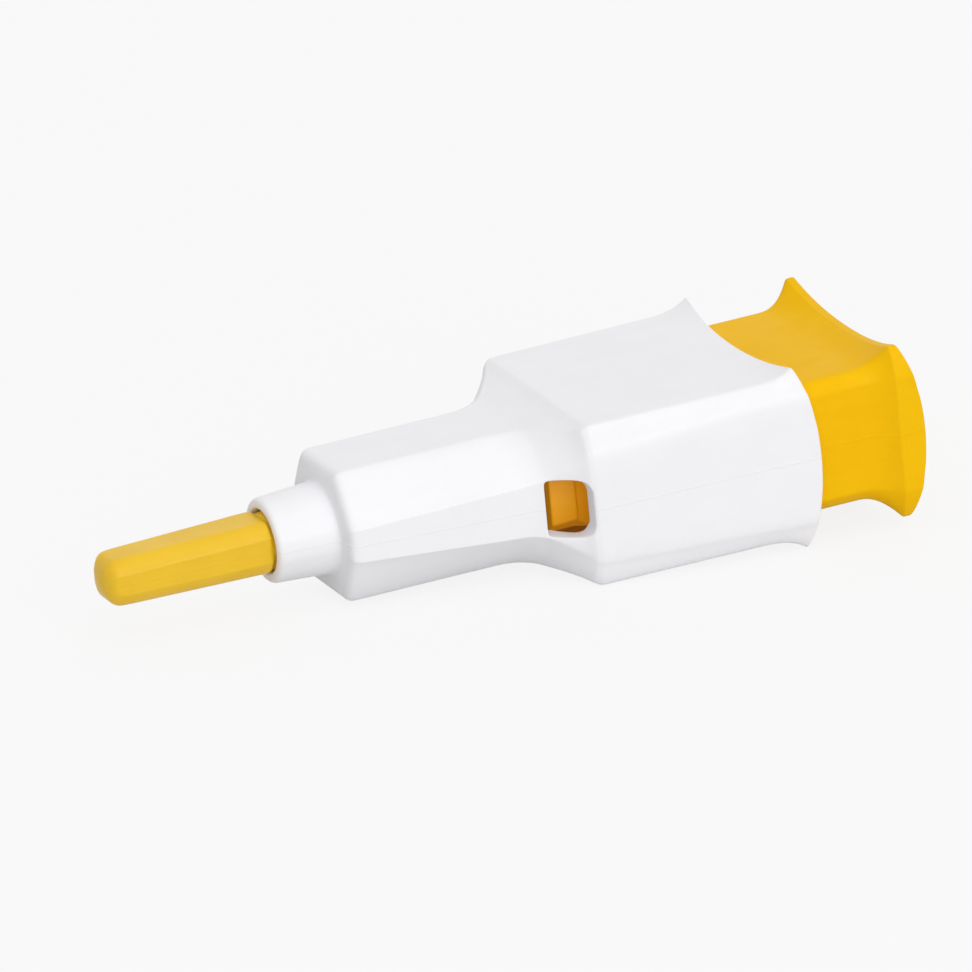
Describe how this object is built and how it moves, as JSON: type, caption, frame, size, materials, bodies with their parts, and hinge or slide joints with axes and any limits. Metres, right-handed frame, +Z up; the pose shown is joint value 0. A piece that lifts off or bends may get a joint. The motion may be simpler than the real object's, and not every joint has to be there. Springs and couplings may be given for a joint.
{
  "type": "safety lancet",
  "caption": "Push-to-fire safety lancet: stepped white housing with flared rear lips and a side window, sliding yellow push button, sprung needle carrier and amber twist-off cap.",
  "frame": {"origin": "below the middle of the bounding box, on the surface that the rear lips lie on, device at rest and unused", "axes": "+X along the device's axis from the cap to the push button, +Y across the broad width, +Z up out of the upper broad face"},
  "size_m": [0.0522, 0.017, 0.0119],
  "materials": {
    "housing_white": "satin moulded, soft sheen",
    "button_yellow": "satin moulded, opaque",
    "amber_plastic": "smooth moulded, slightly translucent",
    "needle_steel": "ground and polished",
    "spring_steel": "drawn wire"
  },
  "bodies": {
    "housing": {"housing": "housing_white", "return_spring": "spring_steel"},
    "button": {"push_button": "button_yellow"},
    "carrier": {"lancet_carrier": "amber_plastic", "needle": "needle_steel", "drive_spring": "spring_steel"},
    "cap": {"twist_off_cap": "amber_plastic"}
  },
  "joints": [
    {"name": "button_press", "type": "slide", "parent": "housing", "child": "button", "axis": [-1, 0, 0], "range_m": [0, 0.0028], "stiffness_N_per_m": 150, "springref_m": -0.001, "deforming": ["drive_spring"]},
    {"name": "lancet_fire", "type": "slide", "parent": "housing", "child": "carrier", "axis": [-1, 0, 0], "range_m": [0, 0.0038], "stiffness_N_per_m": 25, "springref_m": -0.001, "deforming": ["return_spring"]},
    {"name": "cap_pull", "type": "slide", "parent": "carrier", "child": "cap", "axis": [-1, 0, 0], "range_m": [0, 0.025]}
  ]
}
